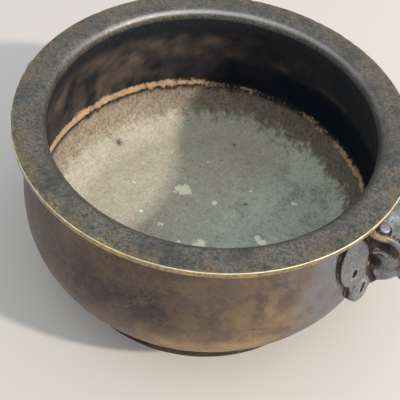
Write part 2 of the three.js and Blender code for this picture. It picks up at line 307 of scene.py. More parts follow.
def section(s):
    """The vessel's half section, from the centre of the underside round to the centre of the floor."""
    r = s.edge_round
    foot_inner = s.foot_radius - s.foot_width
    floor = s.recess_depth + s.floor_thickness
    inner_belly = s.belly_radius - s.wall
    inner_centre = inner_belly - s.belly_fullness + s.wall
    mouth_outer = s.mouth_radius + s.lip_round
    lip_low = s.height - s.lip_round
    top = lip_low - s.mouth_depth
    drop = top - s.belly_height
    belly = belly_line(s, 24, 20)
    bevel_start = (foot_inner - s.recess_slope, s.recess_depth)
    bevel_end = (foot_inner, s.recess_depth - s.recess_slope)
    underside = [
        *line((0, s.recess_depth), bevel_start, 10),
        *line(bevel_start, bevel_end, 3),
        *line(bevel_end, (foot_inner, r), 3),
        *arc((foot_inner + r, r), r, 180, 270, 3),
        *line((foot_inner + r, 0), (s.foot_radius - r, 0), 3),
        *arc((s.foot_radius - r, r), r, 270, 360, 3),
        *line((s.foot_radius, r), belly[0], 10),
    ]
    inside = [
        *line((s.rim_radius - r, s.height), (mouth_outer, s.height), 10),
        *arc((mouth_outer, lip_low), s.lip_round, 90, 180, 9),
        *line((s.mouth_radius, lip_low), (s.mouth_radius, top), 2),
        *cubic((s.mouth_radius, top), (s.mouth_radius, top - LIP_PULL * drop),
               (inner_belly, s.belly_height + BELLY_PULL * drop), (inner_belly, s.belly_height), 18),
        *arc((inner_centre, s.belly_height), (s.belly_fullness - s.wall, s.belly_height - floor), 0, -90, 26),
        *line((inner_centre, floor), (0, floor), 38),
        (0, floor),
    ]
    return np.array(underside + belly + rim_line(s) + inside)


def turned_surface(profile, sides):
    """Vertices and faces of the section turned about the upright axis, its two ends on the axis."""
    turns = 2 * pi * np.arange(sides) / sides
    ring = profile[1:-1]
    rings = np.stack([ring[:, :1] * np.cos(turns), ring[:, :1] * np.sin(turns),
                      np.repeat(ring[:, 1:], sides, axis=1)], axis=-1).reshape(-1, 3)
    points = np.vstack([rings, [0, 0, profile[0, 1]], [0, 0, profile[-1, 1]]])
    here = np.arange(sides)
    after = (here + 1) % sides
    steps = np.arange(len(ring) - 1)[:, None] * sides
    quads = np.stack([steps + here, steps + after, steps + sides + after, steps + sides + here], axis=-1)
    first = len(rings)
    last_ring = first - sides
    fans = [(first, b, a) for a, b in zip(here, after)]
    fans += [(first + 1, last_ring + a, last_ring + b) for a, b in zip(here, after)]
    return points, [tuple(map(int, face)) for face in (*quads.reshape(-1, 4), *fans)]


# Where the marks lie on the vessel: azimuths in degrees, and lengths in millimetres. A spot or a pit
# has its distance from the axis and its size, and a rubbed stretch of the rim its spread and strength
VERDIGRIS_SPOTS = [
    (146, 24.3, 4.2), (140, 21.5, 2.4), (-143, 22.1, 1.7), (92, 15.4, 1.5), (47, 52.5, 1.6),
    (-63, 14.9, 3.4), (-72, 16.5, 2.0), (9.5, 33.7, 2.6), (12, 31.0, 1.8), (-101, 18.8, 1.2),
    (70, 36.0, 0.9), (-20, 47.0, 1.0), (115, 44.0, 0.8), (175, 45.0, 0.9), (-130, 50.0, 1.6),
    (-60, 52.0, 1.9), (20, 56.0, 1.0), (-160, 33.0, 0.8),
]
FLOOR_PITS = [(161.5, 71.2, 1.7), (101.9, 61.9, 1.0), (-90, 36.0, 0.9), (60, 28.0, 0.8), (-15, 58.0, 1.0)]
RIM_DENT = SimpleNamespace(azimuth=-36.8, width=1.6, depth=0.8)
RIM_WEAR = [(-152, 13, 0.75), (-128, 12, 0.85), (-110, 14, 1.0), (-92, 10, 0.8), (-14, 12, 0.7), (6, 10, 0.5),
            (60, 16, 0.4), (128, 18, 0.4)]
RIM_NICKS = SimpleNamespace(number=46, seed=12, width=(0.5, 1.6), depth=(0.06, 0.22))
# Clouds of colour on the belly: azimuth and height, their spreads, and their strength
PLUM_CLOUDS = [(-101, 58, 12, 16, 0.9), (-78, 58, 17, 12, 1.2), (-128, 66, 12, 12, 0.6),
               (-45, 62, 12, 8, 0.35), (62, 55, 20, 14, 0.8), (110, 48, 16, 12, 0.9), (150, 60, 14, 12, 0.6)]
# The golden clouds low on the belly are partly a painted reflection of the floor
GOLD_CLOUDS = [(-58, 34, 22, 11, 0.8), (-90, 25, 18, 6, 0.45), (-42, 52, 14, 14, 0.5),
               (-115, 34, 10, 8, 0.35), (85, 30, 26, 12, 0.8), (130, 36, 16, 12, 0.5)]
# Heights of the marks inside the bowl, and the way to the floor's lit side, which is painted pinker
RESIDUE_FOOT, RESIDUE_TOP = 37.2, 39.4
FLOOR_LOW, FLOOR_HIGH = 15.5, 29
UNDER_RING_TOP = 37.5
# Heights of the blue-black band of soot and painted shade
SOOT_SHADE_FOOT, SOOT_SHADE_TOP = 38, 62
# Heights of the painted light on the inner wall's lit side
LIT_WALL_FOOT, LIT_WALL_TOP = 38, 84
STAIN_HEIGHT = 61.5
LIGHT_TOWARDS = (-0.97, 0.26)
# How far the painted highlight line lies in from the rim's corner
ARRIS_INSET = 0.15


def floor_spots(points, spots):
    """The distance of each point from each spot's axis, with the spot's size."""
    for turn, reach, size in spots:
        centre = (reach * cos(radians(turn)), reach * sin(radians(turn)))
        yield np.hypot(points[:, 0] - centre[0], points[:, 1] - centre[1]), size


def vessel_masks(points, s):
    """The marks that lie in certain places on the vessel, each from 0 to 1, among them painted light, shade
    and highlights.
    """
    radius, azimuth, height = turned_place(points)
    floor = s.recess_depth + s.floor_thickness
    inside = (height > floor - 1) & (radius < s.mouth_radius + s.wall + 6) & ~on_outside(points, s)
    wobble = rough_noise(points, 9, 11)
    fine = rough_noise(points, 2.6, 23)

    def side(turn, spread):
        """1 towards an azimuth, fading over a spread in degrees."""
        return bump(turn_gap(azimuth, turn), spread)

    spots = np.zeros(len(points))
    for gap, size in floor_spots(points, VERDIGRIS_SPOTS):
        spots = np.maximum(spots, smooth_step(gap * (1 + 0.35 * fine), 1.6 * size, 0.3 * size))
    pits = np.zeros(len(points))
    for gap, size in floor_spots(points, FLOOR_PITS):
        pits = np.maximum(pits, bump(gap, size))

    lit_side = side(170, 62)
    top = RESIDUE_TOP + 3.6 * lit_side + 0.5 * wobble
    foot = RESIDUE_FOOT + 1.6 * lit_side - 2.0 * side(50, 40) + 1.0 * fine + 0.6 * wobble
    residue = smooth_step(height, foot - 0.7, foot + 0.7) * smooth_step(height, top + 0.6, top - 0.6)
    # Painted light and shade: the ring is brighter on the lit side and dimmer away from it
    strength = np.clip(0.36 + 0.75 * lit_side + 0.45 * side(52, 16) + 0.45 * wobble, 0, 1)
    residue *= strength * (1 - 0.8 * side(84, 13)) * inside

    low = smooth_step(height, FLOOR_HIGH + 3 * wobble, FLOOR_LOW + 2 * wobble) * inside
    # A blue-black band of soot, with painted shade
    soot_and_shade = smooth_step(height, SOOT_SHADE_FOOT, SOOT_SHADE_FOOT + 4) * inside
    soot_and_shade *= smooth_step(height, SOOT_SHADE_TOP + 2 * wobble, SOOT_SHADE_TOP - 5 + 2 * wobble)
    # Painted light: a lighter brown on the lit side of the inner wall
    painted_wall_light = np.clip(side(160, 52) * (0.7 + 0.9 * wobble), 0, 1) * inside
    painted_wall_light *= smooth_step(height, LIT_WALL_FOOT + 2 * wobble, LIT_WALL_FOOT + 8)
    painted_wall_light *= smooth_step(height, LIT_WALL_TOP + 2 * wobble, LIT_WALL_TOP - 12)
    # Painted light: pinker towards the floor's lit side
    painted_lit_floor = smooth_step(points[:, :2] @ LIGHT_TOWARDS, -14 + 5 * wobble, 10 + 5 * wobble) * low

    on_rim = height > s.height - s.rim_root
    edge = (radius > s.rim_radius - 0.35) & (height > s.height - s.rim_edge - 0.2)
    wear = np.max([amount * side(turn, spread) for turn, spread, amount in RIM_WEAR], axis=0)
    wear *= 0.42 * smooth_step(radius, s.rim_radius - 6, s.rim_radius - 0.6) * on_rim * (0.75 + 0.5 * wobble)
    from_edge = radius - s.rim_radius + ARRIS_INSET
    corner = np.hypot(from_edge, height - s.height + ARRIS_INSET)
    lower = np.hypot(from_edge, height - s.height + s.rim_edge - ARRIS_INSET)
    lip = bump(np.hypot(radius - s.mouth_radius - 1.5, height - s.height + 1.5), 0.9)
    # Greyer towards the handles, where it is grey-blue bronze, and on the belly's left side, where it is a
    # painted sheen
    grey = side(-162, 30) + side(-20, 17) + 0.8 * side(14, 26)

    def clouds(places):
        """Broad clouds of colour on the belly."""
        total = sum(amount * side(turn, spread) * bump(height - level, tall)
                    for turn, level, spread, tall, amount in places)
        return np.clip(total * (0.9 + 0.5 * wobble), 0, 1)

    return {
        # Which side is lit, used to paint shade on the brown band
        "painted_lit_side": lit_side,
        "verdigris": spots * 0.84 * (inside & (height < floor + 4)),
        "residue": residue,
        "floor": low,
        "under_ring": smooth_step(height, UNDER_RING_TOP + fine, UNDER_RING_TOP - 2.5 + fine) * inside,
        "stain": bump(height - STAIN_HEIGHT - 1.2 * wobble, 0.8) * side(92, 42) * inside,
        # Weaker on the lit side, so the band is partly painted shade
        "soot_and_shade": soot_and_shade * (1 - 0.75 * side(168, 50)),
        "painted_wall_light": painted_wall_light,
        "painted_lit_floor": painted_lit_floor,
        "wear": np.clip(np.where(edge, 0.34 + 0.16 * wobble, wear), 0, 1),
        # Painted highlight along the rim's top corner
        "arris_highlight": bump(corner, 0.20) * np.clip(0.85 + 0.4 * fine, 0, 1),
        "brink": bump(lower, 0.32) * np.clip(0.7 + 0.5 * fine, 0, 1),
        "band": edge.astype(float),
        "olive": smooth_step(radius, s.rim_radius - 9, s.rim_radius - 1) * on_rim,
        # Painted highlight on the smooth lip, on its far side only
        "lip": lip * side(112, 62),
        "plum": clouds(PLUM_CLOUDS),
        "ochre_and_reflection": clouds(GOLD_CLOUDS),
        "grey": np.clip(grey * (0.85 + 0.4 * wobble), 0, 1),
        "pit": pits * inside,
        "inside": inside.astype(float),
    }


def on_outside(points, s):
    """Whether each point lies on the bowl's outside, the foot or the rim's underside."""
    outer = np.array(belly_line(s, 24, 24) + rim_line(s))
    outer = outer[np.argsort(outer[:, 1])]
    wall_radius = np.interp(points[:, 2], outer[:, 1], outer[:, 0])
    radius = np.hypot(points[:, 0], points[:, 1])
    below = points[:, 2] < s.recess_depth + 0.5
    return below | ((radius > wall_radius - 1.5) & (points[:, 2] < s.height - s.edge_round * 0.5))


def vessel_relief(points, masks, s):
    """How far each point of the vessel stands out of the true turned form, never out of its box."""
    radius, azimuth, height = turned_place(points)
    swell = 0.09 * rough_noise(points, 11, 3) + 0.045 * rough_noise(points, 3.4, 7)
    floor = masks["floor"]
    relief = swell * (1 + 0.8 * floor)
    relief += masks["inside"] * (0.34 * masks["residue"] + 0.30 * masks["verdigris"] - 0.75 * masks["pit"])
    relief += floor * 0.07 * rough_noise(points, 1.9, 31)

    rim = (height > s.height - s.rim_edge - 0.2) & (radius > s.mouth_radius)
    relief = np.where(rim, -np.abs(relief) * 0.8, relief)

    def along_rim(turn, width):
        """A soft place on the rim's circle, with its width in millimetres."""
        return bump(radians(1) * turn_gap(azimuth, turn) * s.rim_radius, width)

    generator = np.random.default_rng(RIM_NICKS.seed)
    corner = bump(np.hypot(radius - s.rim_radius, height - s.height), 0.9)
    for _ in range(RIM_NICKS.number):
        turn = generator.uniform(-180, 180)
        width = generator.uniform(*RIM_NICKS.width)
        depth = generator.uniform(*RIM_NICKS.depth)
        relief -= depth * along_rim(turn, width) * corner
    middle = s.height - s.rim_edge * 0.45
    dent = along_rim(RIM_DENT.azimuth, RIM_DENT.width) * bump(height - middle, 0.9)
    relief -= RIM_DENT.depth * dent * (radius > s.rim_radius - 2)
    flat_foot = (height < 1.5) & (radius > s.foot_radius - s.foot_width - 1)
    return np.where(flat_foot, 0.0, relief)


def mesh_piece(name, points, faces, masks=None):
    """A smooth mesh object from points in millimetres, with a point attribute for each mask."""
    mesh = bpy.data.meshes.new(name)
    mesh.from_pydata((points * MM).tolist(), [], faces)
    mesh.polygons.foreach_set("use_smooth", [True] * len(mesh.polygons))
    for mask, values in (masks or {}).items():
        layer = mesh.attributes.new(mask, "FLOAT", "POINT")
        layer.data.foreach_set("value", np.asarray(values, dtype=np.float32))
    mesh.update()
    piece = bpy.data.objects.new(name, mesh)
    bpy.context.collection.objects.link(piece)
    return piece


def point_normals(piece):
    """The unit normal at each vertex of a mesh object."""
    normals = np.empty(len(piece.data.vertices) * 3)
    piece.data.vertices.foreach_get("normal", normals)
    return normals.reshape(-1, 3)


def move_points(piece, points):
    """Puts the vertices of a mesh object at points in millimetres."""
    piece.data.vertices.foreach_set("co", (points * MM).ravel())
    piece.data.update()


# The handles: every place on a head is given outward from the wall, to the side and above the
# handle's middle, in millimetres, and what has a side is repeated on the other one

MIDDLE_FORMS = [
    ((-0.5, 0, 3), (13.5, 12.6, 14)),
    ((5.5, 0, -5), (10.5, 11, 10)),
    ((5, 0, -14.6), (12.8, 13, 9.6)),
]
SIDE_FORMS = [
    ((2, 8, 10.8), (10, 7.4, 3.2)),
    ((8, 5.2, -7.4), (7.4, 6.2, 5.4)),
    ((3, 10.5, -16.5), (6.2, 5.8, 7)),
]
HOLLOW_FORMS = [
    ((3.4, 16.0, 3.0), (4.2, 6, 6)),
    ((7.8, 13.8, 2.4), (6.6, 5.6, 5.2)),
    ((5.2, 15.6, -7), (4.4, 4.8, 5)),
]
# The trunk, the ridge over the eye and the inner curl, each as the path of a round bar and its radii
TRUNK = ([(8, 0, 5.5), (14.6, 0, 2.4), (17.65, 0, -4), (16.6, 0, -12), (17.4, 0, -18), (20.5, 0, -21.2)],
         [6.4, 6.4, 6.2, 5, 4, 3])
TRUNK_CREASES = SimpleNamespace(number=9, depth=0.28)
BROW_RIDGE = ([(-1, 15, 12.4), (3, 15, 12.8), (7.5, 14.2, 12.8), (11, 13, 10.4), (13.2, 11.6, 6.6),
               (14, 9.5, 1.6)], [1.5, 1.5, 1.1])
INNER_CURL = ([(3.2, 11.0, -2.4), (4.4, 11.2, -0.8), (6.2, 11.0, -0.4), (8.0, 10.6, -1.0), (8.6, 10.2, -2.4)],
              [0.7, 0.9, 0.6])
EYE = SimpleNamespace(place=(3.3, 11.5, 13.7), ball=(3.3, 10.9, 13.6), facing=(0.28, 0.1, 0.95), seat=1.0,
                      ring=0.45)
# Lobes as a length round the wall, rise, radius, stretch, which thickness they have, their rounding,
# and the rise of the place on the wall that they lie parallel to
LOBES = [
    (23.4, -0.3, 9.8, 1.26, "lobe_thickness", 0.7, -0.3),
    (16.4, 12.5, 10.5, 0.95, "lobe_thickness", 0.7, 12.5),
    (21.4, -11.4, 6.4, 1.2, "plate_thickness", 0.7, -5),
    (19.6, -18.6, 7.2, 1, "knob_thickness", 2.4, -6),
    (12.6, -4, 5.4, 2.4, "back_thickness", 0.3, -4),
]
# Bars along the lobes, as lengths round the wall, rises and heights off it, and then their radii
CREASE = ([(11.8, 11, 2.0), (12.4, 0, 2.0), (13.8, -8.5, 2.9), (14.3, -12.5, 4.8), (12.6, -19, 7.4)],
          [1.5, 1.5, 1.3, 1.2])
CURL_PIT = ([(24.5, -5.2, 2.4), (23.8, -4.2, 2.4)], [1.3, 1.0])
CURL_RIDGE = ([(26.5, -5.4, 2.1), (27.4, -2.2, 2.1), (26.0, 0.4, 2.1), (23.6, 1.2, 2.1), (20.9, 0.4, 2.1)],
              [0.4, 0.6, 0.5])
KNOB_SLOT = ([(19.1, -14.6, 4.6), (20.4, -17.4, 5.0)], [1.0, 1.2])
# The corners of the space in which a handle is sculpted, and of the wall's table of radii and heights
SCULPT_LOW, SCULPT_HIGH = np.array([-12.5, -35.0, -30.5]), np.array([24.5, 35.0, 22.0])
WALL_LOW, WALL_HIGH = np.array([62.0, 24.0]), np.array([116.0, 98.0])


def one_sided(points):
    """The points with the head's second side laid over its first."""
    return np.column_stack([points[:, 0], np.abs(points[:, 1]), points[:, 2]])


def smoothed(path, steps=4):
    """The path through the same points, rounded between them as a Catmull-Rom curve."""
    ends = [2 * np.array(path[0]) - path[1], *map(np.array, path), 2 * np.array(path[-1]) - path[-2]]
    points = []
    for a, b, c, d in zip(ends, ends[1:], ends[2:], ends[3:]):
        for i in range(steps):
            t = i / steps
            points.append(0.5 * (2 * b + (c - a) * t + (2 * a - 5 * b + 4 * c - d) * t ** 2
                                 + (3 * b - a - 3 * c + d) * t ** 3))
    return np.array(points + [np.array(path[-1], dtype=float)])


def egg(points, centre, size):
    """Distance to an egg-shaped form, below zero inside it."""
    offset = points - np.array(centre)
    near = np.linalg.norm(offset / size, axis=1)
    slope = np.linalg.norm(offset / np.square(size), axis=1)
    return near * (near - 1) / np.maximum(slope, 1e-6)


def bar(points, path, radii):
    """Distance to a round bar along a path, and how far along the path the nearest place is."""
    widths = np.interp(np.linspace(0, 1, len(path)), np.linspace(0, 1, len(radii)), radii)
    nearest = np.full(len(points), FAR)
    along = np.zeros(len(points))
    for i, (start, end) in enumerate(zip(path, path[1:])):
        reach = end - start
        share = np.clip((points - start) @ reach / (reach @ reach), 0, 1)
        gap = np.linalg.norm(points - start - share[:, None] * reach, axis=1)
        gap -= widths[i] + (widths[i + 1] - widths[i]) * share
        along = np.where(gap < nearest, (i + share) / (len(path) - 1), along)
        nearest = np.minimum(nearest, gap)
    return nearest, along


def rounded_bar(points, mark):
    """Distance to a bar whose path is smoothed, and how far along it the nearest place is."""
    path, radii = mark
    return bar(points, smoothed(path), radii)


def disc_axes(facing):
    """The sideways, upward and facing directions of a disc that looks along facing."""
    look = unit(np.array(facing, dtype=float))
    side = unit(np.cross((0, 0, 1), look))
    return np.array([side, np.cross(look, side), look])


def disc(points, centre, facing, radius, thickness, stretch=1.0, rounding=0.5, dome=0.0):
    """Distance to a disc with a rounded edge and a slightly domed face."""
    side, rise, look = disc_axes(facing) @ (points - np.array(centre)).T
    spread = np.hypot(side, rise / stretch)
    face = thickness + dome * (1 - np.square(np.minimum(spread / radius, 1)))
    out = spread - radius + rounding
    over = np.abs(look) - face + rounding
    corner = np.hypot(np.maximum(out, 0), np.maximum(over, 0))
    return corner + np.minimum(np.maximum(out, over), 0) - rounding


def unit(vectors):
    """The vectors at a length of one."""
    return vectors / np.linalg.norm(vectors, axis=-1, keepdims=True)


def joined(first, second, soft):
    """Two forms run together, with a fillet of about the soft length."""
    overlap = np.maximum(soft - np.abs(first - second), 0) / soft
    return np.minimum(first, second) - overlap * overlap * soft / 4


def cut(first, second, soft):
    """The first form with the second cut out of it."""
    return -joined(-first, second, soft)


class WallField:
    """Distance to the vessel's outside, looked up from a table over radius and height."""

    def __init__(self, s, step=0.25):
        outline = np.array(belly_line(s, 40, 40) + rim_line(s) + [(s.rim_radius - s.edge_round, s.height)])
        self.step = step
        radii, heights = (np.arange(low, high, step) for low, high in zip(WALL_LOW, WALL_HIGH))
        grid = np.stack(np.meshgrid(radii, heights, indexing="ij"), axis=-1).reshape(-1, 2)
        nearest = bar(grid, outline, [0])[0]
        within = np.zeros(len(grid), dtype=bool)
        for (r1, z1), (r2, z2) in zip(outline, outline[1:]):
            crosses = (z1 <= grid[:, 1]) != (z2 <= grid[:, 1])
            at = r1 + (r2 - r1) * (grid[:, 1] - z1) / (z2 - z1 if z2 != z1 else 1)
            within ^= crosses & (at > grid[:, 0])
        self.table = np.where(within, -nearest, nearest).reshape(len(radii), len(heights))
        upright = np.array(belly_line(s, 20, 20))
        self.radii, self.heights = upright[:, 0], upright[:, 1]

    def radius(self, level):
        """The wall's outer radius at a height."""
        return float(np.interp(level, self.heights, self.radii))

    def distance(self, radius, height):
        """The distance at places given by their radius and height."""
        place = (np.stack([radius, height], axis=1) - WALL_LOW) / self.step
        place = np.clip(place, 0, np.array(self.table.shape) - 1.001)
        base = place.astype(int)
        u, v = (place - base).T
        i, j = base.T
        table = self.table
        return ((1 - u) * (1 - v) * table[i, j] + u * (1 - v) * table[i + 1, j]
                + (1 - u) * v * table[i, j + 1] + u * v * table[i + 1, j + 1])


class HandleForm:
    """The sculpted head and its lobes as one distance field, in the head's own directions."""

    def __init__(self, vessel, handle):
        self.handle = handle
        self.wall = WallField(vessel)
        self.middle = vessel.height - handle.drop
        self.origin = np.array([self.wall.radius(self.middle), 0, self.middle])

    def on_wall(self, around, rise, raised=0.0):
        """A place on the wall in the head's directions, raised off the surface."""
        radius = self.wall.radius(self.middle + rise)
        turn = around / radius
        reach = radius + raised
        return np.array([reach * cos(turn), reach * sin(turn), self.middle + rise]) - self.origin

    def wall_facing(self, around, rise, lean):
        """The direction in which the wall faces at a place, leaning as the wall does at another rise."""
        turn = around / self.wall.radius(self.middle + rise)
        level = self.middle + lean
        slope = (self.wall.radius(level + 2) - self.wall.radius(level - 2)) / 4
        return cos(turn), sin(turn), -slope

    def wall_distance(self, points):
        """Distance to the wall at points in the head's directions."""
        return self.wall.distance(np.hypot(points[:, 0] + self.origin[0], points[:, 1]),
                                  points[:, 2] + self.origin[2])

    def along_wall(self, points, mark):
        """Distance to one of the bars that lie along the wall."""
        path, radii = mark
        return bar(points, smoothed([self.on_wall(*place) for place in path], 3), radii)[0]

    def distance(self, points):
        """Distance to the handle's surface at points in millimetres in the head's directions."""
        one = one_sided(points)
        field = reduce(lambda first, second: joined(first, second, 2.2),
                       [egg(one, centre, size) for centre, size in MIDDLE_FORMS])
        trunk, along = rounded_bar(one, TRUNK)
        creases = smooth_step(along, 0.22, 0.34) * smooth_step(along, 1.0, 0.9)
        creases *= np.square(np.sin(along * pi * TRUNK_CREASES.number))
        trunk = trunk + TRUNK_CREASES.depth * creases
        field = joined(field, trunk, 2.4)
        for centre, size in SIDE_FORMS:
            field = joined(field, egg(one, centre, size), 1.5)
        field = joined(field, rounded_bar(one, BROW_RIDGE)[0], 0.9)
        for centre, size in HOLLOW_FORMS:
            field = cut(field, egg(one, centre, size), 0.9)
        field = cut(field, self.along_wall(one, CREASE), 0.7)
        field = joined(field, rounded_bar(one, INNER_CURL)[0], 0.6)
        field = self.with_lobes(self.with_eye(field, one), one)
        return cut(field, self.wall_distance(points) - self.handle.joint_gap, 0.2)

    def with_eye(self, field, points):
        """The field with the eye: a socket, a domed disc and a thin raised ring round it."""
        handle = self.handle
        side, rise, look = disc_axes(EYE.facing) @ (points - np.array(EYE.place)).T
        spread = np.hypot(side, rise)
        hollow = disc(points, EYE.place, EYE.facing, handle.socket_radius - 0.4, handle.eye_rise,
                      rounding=0.3)
        seat = np.maximum(hollow, -look - EYE.seat)
        ring = np.hypot(spread - handle.socket_radius, look) - EYE.ring
        ball = disc(points, EYE.ball, EYE.facing, handle.eye_radius, handle.eye_rise, rounding=0.6, dome=0.3)
        return joined(joined(cut(field, seat, 0.4), ball, 0.3), ring, 0.4)

    def with_lobes(self, field, points):
        """The field with the lobes that lie on the wall, and the curls pressed into them."""
        for around, rise, radius, stretch, kind, rounding, lean in LOBES:
            place, facing = self.on_wall(around, rise), self.wall_facing(around, rise, lean)
            thickness = getattr(self.handle, kind)
            plate = disc(points, place, facing, radius, thickness, stretch, rounding, dome=0.25)
            field = joined(field, plate, 1.2)
        field = joined(field, self.along_wall(points, CURL_RIDGE), 0.8)
        field = cut(field, self.along_wall(points, CURL_PIT), 0.5)
        return cut(field, self.along_wall(points, KNOB_SLOT), 0.6)


def crossing_surface(field, low, step):
    """Vertices and quads where a field sampled on a grid crosses zero, one vertex in each mixed cell."""
    inside = field < 0
    shape = np.array(field.shape) - 1
    corners = np.array(list(np.ndindex(2, 2, 2)))
    count = sum(inside[a:a + shape[0], b:b + shape[1], c:c + shape[2]].astype(np.int8)
                for a, b, c in corners)
    mixed = (count > 0) & (count < 8)
    cells = np.argwhere(mixed)
    index = np.full(shape, -1)
    index[mixed] = np.arange(len(cells))
    total = np.zeros((len(cells), 3))
    hits = np.zeros(len(cells))
    for axis in range(3):
        for start in corners[corners[:, axis] == 0]:
            end = start.copy()
            end[axis] = 1
            first = field[tuple((cells + start).T)]
            last = field[tuple((cells + end).T)]
            crossed = (first < 0) != (last < 0)
            share = np.where(crossed, first / np.where(crossed, first - last, 1), 0)
            total += np.where(crossed[:, None], start + share[:, None] * (end - start), 0)
            hits += crossed
    vertices = low + step * (cells + total / hits[:, None])
    quads = []
    for axis in range(3):
        step_one, step_two = np.eye(3, dtype=int)[[(axis + 1) % 3, (axis + 2) % 3]]
        ahead = np.eye(3, dtype=int)[axis]
        here = np.argwhere(np.diff(inside, axis=axis))
        within = np.all((here >= step_one + step_two) & (here < shape - 1 + ahead), axis=1)
        here = here[within]
        ring = [here, here - step_one, here - step_one - step_two, here - step_two]
        quad = np.stack([index[tuple(cell.T)] for cell in ring], axis=1)
        leaving = inside[tuple(here.T)]
        quads.append(np.where(leaving[:, None], quad[:, ::-1], quad))
    return vertices, np.vstack(quads)


def handle_surface(form):
    """The handle's vertices in the frame's millimetres, its faces and its masks."""
    step = form.handle.grid_step
    counts = np.ceil((SCULPT_HIGH - SCULPT_LOW) / step).astype(int)
    axes = [low + step * np.arange(count) for low, count in zip(SCULPT_LOW, counts)]
    grid = np.stack(np.meshgrid(*axes, indexing="ij"), axis=-1).reshape(-1, 3)
    field = form.distance(grid).reshape(counts)
    points, quads = largest_part(*crossing_surface(field, SCULPT_LOW, step))
    nudge = 0.05
    for _ in range(2):
        value = form.distance(points)
        slope = np.stack([form.distance(points + nudge * axis) - value for axis in np.eye(3)], axis=1) / nudge
        reach = np.maximum(np.sum(slope * slope, axis=1), 0.3)
        move = -slope * (value / reach)[:, None]
        size = np.linalg.norm(move, axis=1, keepdims=True)
        points = points + move * np.minimum(1, 0.5 * step / np.maximum(size, 1e-9))
    normals = unit(slope)
    masks = handle_masks(form, points, normals)
    points = points + normals * handle_relief(points, masks)[:, None]
    return points + form.origin, quads, masks


def largest_part(points, quads):
    """The surface without loose crumbs: only what hangs together with most of the faces."""
    label = np.arange(len(points))
    while True:
        lowest = label[quads].min(axis=1)
        spread = label.copy()
        for corner in range(4):
            np.minimum.at(spread, quads[:, corner], lowest)
        spread = spread[spread]
        if np.array_equal(spread, label):
            break
        label = spread
    names, sizes = np.unique(label[quads[:, 0]], return_counts=True)
    kept = label == names[np.argmax(sizes)]
    number = np.cumsum(kept) - 1
    return points[kept], number[quads[kept[quads[:, 0]]]]


def handle_masks(form, points, normals):
    """Where the hollows, the painted shade, the rubbed forms, the eyes, the eye rings' painted highlight and
    the deposits lie, from 0 to 1.
    """
    reach = 1.6
    hollow = np.max([np.clip((depth - form.distance(points + depth * normals)) / depth, 0, 1.2)
                     for depth in (reach, 3.2)], axis=0)
    raised = np.clip((reach * 0.8 + form.distance(points - 0.8 * reach * normals)) / reach * 1.6, 0, 1)
    one = one_sided(points)
    rise = one[:, 2]
    seam = form.wall_distance(points)
    around = np.arctan2(one[:, 1], one[:, 0] + form.origin[0]) * form.origin[0]
    eyelid = bump(np.maximum(rounded_bar(one, BROW_RIDGE)[0], 0), 0.5)

    side, up, look = disc_axes(EYE.facing) @ (one - np.array(EYE.ball)).T
    spread = np.hypot(side, up)
    socket = form.handle.socket_radius
    eye = smooth_step(spread, form.handle.eye_radius + 0.5, form.handle.eye_radius - 0.2) * (look > 0)

    crease, pit, slot = (form.along_wall(one, place) for place in (CREASE, CURL_PIT, KNOB_SLOT))
    # Painted shade in the pockets under the brow and along the crease
    pocket_shade = smooth_step(np.min([egg(one, centre, size) for centre, size in HOLLOW_FORMS], axis=0), 0.9, 0.2)
    painted_shade = np.maximum(pocket_shade, smooth_step(crease, 0.7, 0.1)) * smooth_step(around, 14.4, 13.2)
    facing = np.sum(normals[:, :2] * unit(points[:, :2] + form.origin[:2]), axis=1)
    on_lobes = around > 15
    # Painted shade on the lobes' sides, which stand off the wall
    flank_shade = smooth_step(facing, 0.80, 0.45) * smooth_step(seam, 3.4, 2.4) * on_lobes
    return {
        "hollow": hollow * smooth_step(spread, socket - 0.6, socket + 1.0),
        "raised": raised * (1 - eye) * (spread > socket + 0.8),
        "crust": smooth_step(rise, 8.5, 12.5) * smooth_step(one[:, 1], 12, 7),
        "joint": smooth_step(seam, 1.7, 0.5),
        "eyelid": eyelid * raised,
        "curl": bump(np.maximum(rounded_bar(one, INNER_CURL)[0], 0), 0.4),
        "eye": eye,
        "edge": bump(crease - 0.3, 0.5) * (around > 13) * bump(rise - 1.0, 7),
        "ring": bump(np.minimum(pit, slot) - 0.8, 0.5),
        # Painted shade: the pockets, the crease and the lobes' sides
        "painted_shade": np.maximum(painted_shade, flank_shade * smooth_step(seam, 0.2, 0.6)),
        # The thin ring round each eye, where a pale highlight is painted
        "rim": bump(np.hypot(spread - socket, look), 0.6),
        "bloom": smooth_step(rise, 4, -8) * on_lobes,
    }


def handle_relief(points, masks):
    """Casting roughness of the handle, finer than the forms, deeper on the crusted forehead."""
    skin = 0.06 * rough_noise(points, 2.4, 41) + 0.03 * rough_noise(points, 0.9, 47)
    pits = np.clip(rough_noise(points, 1.5, 53) - 0.25, 0, 1)
    return skin - 0.05 - masks["crust"] * (0.42 * pits - 0.08 * rough_noise(points, 3.2, 59))


# Materials


